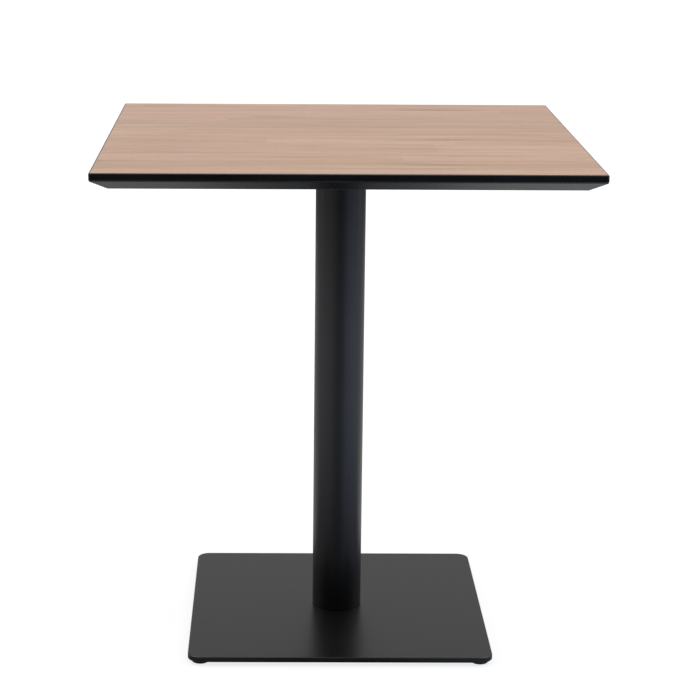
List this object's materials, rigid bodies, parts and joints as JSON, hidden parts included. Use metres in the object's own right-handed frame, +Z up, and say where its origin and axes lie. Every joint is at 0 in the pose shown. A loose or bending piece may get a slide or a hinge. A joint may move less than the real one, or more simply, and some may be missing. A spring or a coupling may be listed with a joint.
{
  "type": "pedestal bistro table",
  "caption": "Square wood-decor top with a black reverse-bevel edge on a round steel column and a square flat steel base plate with corner levelling feet.",
  "frame": {"origin": "on the floor under the centre of the column, with the levelling feet screwed fully in", "axes": "+Z up along the column, +X along the front edge of the top, -Y towards the front"},
  "size_m": [0.7, 0.7, 0.76],
  "materials": {
    "wood_decor": "satin",
    "chipboard": "matte",
    "black_lacquer": "satin",
    "black_backing": "matte",
    "black_powder_coat": "satin",
    "bare_steel": "satin",
    "zinc_steel": "satin",
    "black_oxide_steel": "satin",
    "black_nylon": "matte",
    "rubber_sole": "matte"
  },
  "bodies": {
    "table": {"backing_laminate": "black_backing", "base_bolts": "black_oxide_steel", "base_plate": "black_powder_coat", "bracket_bolts": "black_oxide_steel", "bracket_screws": "zinc_steel", "bracket_washers": "zinc_steel", "column_foot_plate": "bare_steel", "column_head_plate": "bare_steel", "column_tube": "black_powder_coat", "edge_lipping_back": "black_lacquer", "edge_lipping_front": "black_lacquer", "edge_lipping_left": "black_lacquer", "edge_lipping_right": "black_lacquer", "tabletop_core": "chipboard", "threaded_inserts": "zinc_steel", "top_bracket": "black_powder_coat", "top_laminate": "wood_decor"},
    "front_left_foot": {"foot_pad_front_left": "black_nylon", "foot_sole_front_left": "rubber_sole"},
    "front_left_stud": {"foot_stud_front_left": "zinc_steel"},
    "front_right_foot": {"foot_pad_front_right": "black_nylon", "foot_sole_front_right": "rubber_sole"},
    "front_right_stud": {"foot_stud_front_right": "zinc_steel"},
    "back_left_foot": {"foot_pad_back_left": "black_nylon", "foot_sole_back_left": "rubber_sole"},
    "back_left_stud": {"foot_stud_back_left": "zinc_steel"},
    "back_right_foot": {"foot_pad_back_right": "black_nylon", "foot_sole_back_right": "rubber_sole"},
    "back_right_stud": {"foot_stud_back_right": "zinc_steel"}
  },
  "joints": [
    {"name": "front_left_foot_lift", "type": "slide", "parent": "table", "child": "front_left_foot", "axis": [0, 0, -1], "range_m": [0, 0.00301]},
    {"name": "front_left_stud_turn", "type": "hinge", "parent": "front_left_foot", "child": "front_left_stud", "pos_m": [-0.2085, -0.2085, 0.0048], "axis": [0, 0, -1], "range_deg": [0, 1080]},
    {"name": "front_right_foot_lift", "type": "slide", "parent": "table", "child": "front_right_foot", "axis": [0, 0, -1], "range_m": [0, 0.00301]},
    {"name": "front_right_stud_turn", "type": "hinge", "parent": "front_right_foot", "child": "front_right_stud", "pos_m": [0.2085, -0.2085, 0.0048], "axis": [0, 0, -1], "range_deg": [0, 1080]},
    {"name": "back_left_foot_lift", "type": "slide", "parent": "table", "child": "back_left_foot", "axis": [0, 0, -1], "range_m": [0, 0.00301]},
    {"name": "back_left_stud_turn", "type": "hinge", "parent": "back_left_foot", "child": "back_left_stud", "pos_m": [-0.2085, 0.2085, 0.0048], "axis": [0, 0, -1], "range_deg": [0, 1080]},
    {"name": "back_right_foot_lift", "type": "slide", "parent": "table", "child": "back_right_foot", "axis": [0, 0, -1], "range_m": [0, 0.00301]},
    {"name": "back_right_stud_turn", "type": "hinge", "parent": "back_right_foot", "child": "back_right_stud", "pos_m": [0.2085, 0.2085, 0.0048], "axis": [0, 0, -1], "range_deg": [0, 1080]}
  ],
  "couplings": [
    {"joint": "front_left_foot_lift", "follows": "front_left_stud_turn", "m_per_rad": 0.00015915},
    {"joint": "front_right_foot_lift", "follows": "front_right_stud_turn", "m_per_rad": 0.00015915},
    {"joint": "back_left_foot_lift", "follows": "back_left_stud_turn", "m_per_rad": 0.00015915},
    {"joint": "back_right_foot_lift", "follows": "back_right_stud_turn", "m_per_rad": 0.00015915}
  ]
}
